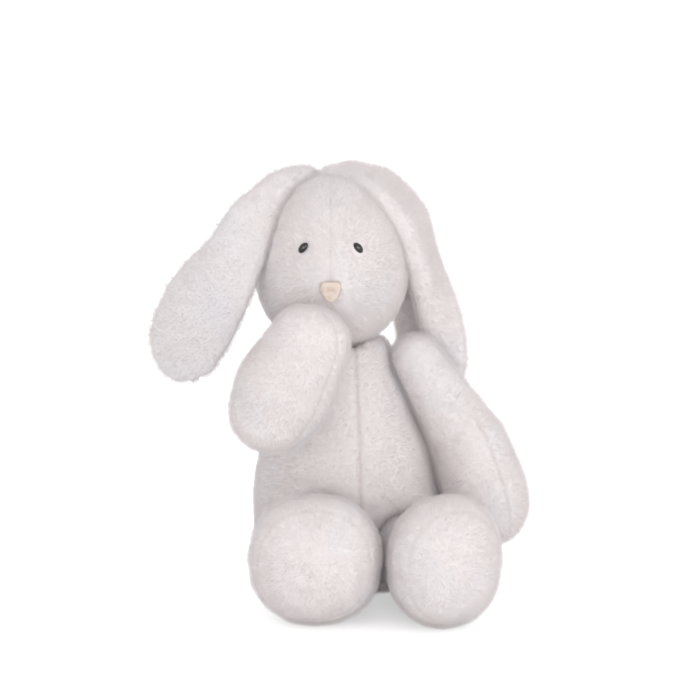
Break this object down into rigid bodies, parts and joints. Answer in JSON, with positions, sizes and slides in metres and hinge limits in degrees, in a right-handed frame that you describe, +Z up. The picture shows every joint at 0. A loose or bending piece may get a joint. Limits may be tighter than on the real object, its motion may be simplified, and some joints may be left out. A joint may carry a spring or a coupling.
{
  "type": "stuffed bunny rabbit",
  "caption": "Sitting lop-eared plush rabbit in pale fur, with round feet, long soft arms, hanging ears, black domed eyes and a stitched nose.",
  "frame": {"origin": "on the floor under the middle of the seat", "axes": "+Z up, the rabbit faces -Y and its left side is +X"},
  "size_m": [0.2137, 0.1874, 0.238],
  "materials": {
    "pile_plush": "short soft pile plush, pinkish off-white",
    "fibre_filling": "loose white polyester fibre",
    "pellet_cloth": "plain woven cotton",
    "black_eye_plastic": "high gloss",
    "white_washer_plastic": "moulded, matte",
    "nose_thread": "peach satin-stitched thread",
    "label_satin": "blank woven satin"
  },
  "bodies": {
    "torso": {"torso_front_left_panel": "pile_plush", "torso_front_right_panel": "pile_plush", "torso_back_panel": "pile_plush", "torso_stuffing": "fibre_filling", "seat_pellet_bag": "pellet_cloth", "care_label": "label_satin"},
    "tail": {"tail_shell": "pile_plush", "tail_stuffing": "fibre_filling"},
    "neck": {"neck_stuffing": "fibre_filling"},
    "head": {"head_face_left_panel": "pile_plush", "head_face_right_panel": "pile_plush", "head_back_panel": "pile_plush", "head_stuffing": "fibre_filling", "left_eye": "black_eye_plastic", "left_eye_washer": "white_washer_plastic", "right_eye": "black_eye_plastic", "right_eye_washer": "white_washer_plastic", "nose": "nose_thread"},
    "left_ear": {"left_ear_outer_panel": "pile_plush", "left_ear_inner_panel": "pile_plush", "left_ear_wadding": "fibre_filling"},
    "left_upper_arm": {"left_upper_arm_sleeve": "pile_plush", "left_upper_arm_stuffing": "fibre_filling"},
    "left_forearm": {"left_forearm_outer_panel": "pile_plush", "left_forearm_inner_panel": "pile_plush", "left_forearm_stuffing": "fibre_filling"},
    "left_leg": {"left_leg_top_panel": "pile_plush", "left_leg_bottom_panel": "pile_plush", "left_foot_sole": "pile_plush", "left_leg_stuffing": "fibre_filling"},
    "right_ear": {"right_ear_outer_panel": "pile_plush", "right_ear_inner_panel": "pile_plush", "right_ear_wadding": "fibre_filling"},
    "right_upper_arm": {"right_upper_arm_sleeve": "pile_plush", "right_upper_arm_stuffing": "fibre_filling"},
    "right_forearm": {"right_forearm_outer_panel": "pile_plush", "right_forearm_inner_panel": "pile_plush", "right_forearm_stuffing": "fibre_filling"},
    "right_leg": {"right_leg_top_panel": "pile_plush", "right_leg_bottom_panel": "pile_plush", "right_foot_sole": "pile_plush", "right_leg_stuffing": "fibre_filling"}
  },
  "joints": [
    {"name": "neck_turn", "type": "hinge", "parent": "torso", "child": "neck", "pos_m": [-0.009, -0.001, 0.137], "axis": [0, 0, 1], "range_deg": [-7, 24], "stiffness_Nm_per_rad": 0.4},
    {"name": "head_nod", "type": "hinge", "parent": "neck", "child": "head", "pos_m": [-0.009, -0.001, 0.137], "axis": [1, 0, 0], "range_deg": [-15, 4], "stiffness_Nm_per_rad": 0.6},
    {"name": "left_ear_lift", "type": "hinge", "parent": "head", "child": "left_ear", "pos_m": [0, 0.009, 0.228], "axis": [0, 1, 0], "range_deg": [-75, 0], "stiffness_Nm_per_rad": 0.06},
    {"name": "right_ear_lift", "type": "hinge", "parent": "head", "child": "right_ear", "pos_m": [-0.024, 0.004, 0.227], "axis": [0, 1, 0], "range_deg": [0, 75], "stiffness_Nm_per_rad": 0.06},
    {"name": "left_shoulder_swing", "type": "hinge", "parent": "torso", "child": "left_upper_arm", "pos_m": [0.0365, -0.007, 0.131], "axis": [-0.9404, -0.3401, 0], "range_deg": [0, 130], "stiffness_Nm_per_rad": 0.15},
    {"name": "left_elbow_fold", "type": "hinge", "parent": "left_upper_arm", "child": "left_forearm", "pos_m": [0.068, -0.01, 0.082], "axis": [-0.8982, -0.3566, -0.2571], "range_deg": [0, 90], "stiffness_Nm_per_rad": 0.08},
    {"name": "right_shoulder_spread", "type": "hinge", "parent": "torso", "child": "right_upper_arm", "pos_m": [-0.043, -0.008, 0.129], "axis": [0, 0, -1], "range_deg": [0, 38], "stiffness_Nm_per_rad": 0.15},
    {"name": "right_elbow_unfold", "type": "hinge", "parent": "right_upper_arm", "child": "right_forearm", "pos_m": [-0.043, -0.06, 0.11], "axis": [0.9045, 0.109, -0.4122], "range_deg": [0, 85], "stiffness_Nm_per_rad": 0.08},
    {"name": "left_hip_lift", "type": "hinge", "parent": "torso", "child": "left_leg", "pos_m": [0.033, -0.038, 0.027], "axis": [-1, 0, 0], "range_deg": [0, 34], "stiffness_Nm_per_rad": 0.2},
    {"name": "right_hip_lift", "type": "hinge", "parent": "torso", "child": "right_leg", "pos_m": [-0.017, -0.031, 0.027], "axis": [-1, 0, 0], "range_deg": [0, 22], "stiffness_Nm_per_rad": 0.2},
    {"name": "tail_wag", "type": "hinge", "parent": "torso", "child": "tail", "pos_m": [0, 0.046, 0.026], "axis": [0, 0, 1], "range_deg": [-20, 20], "stiffness_Nm_per_rad": 0.05}
  ]
}
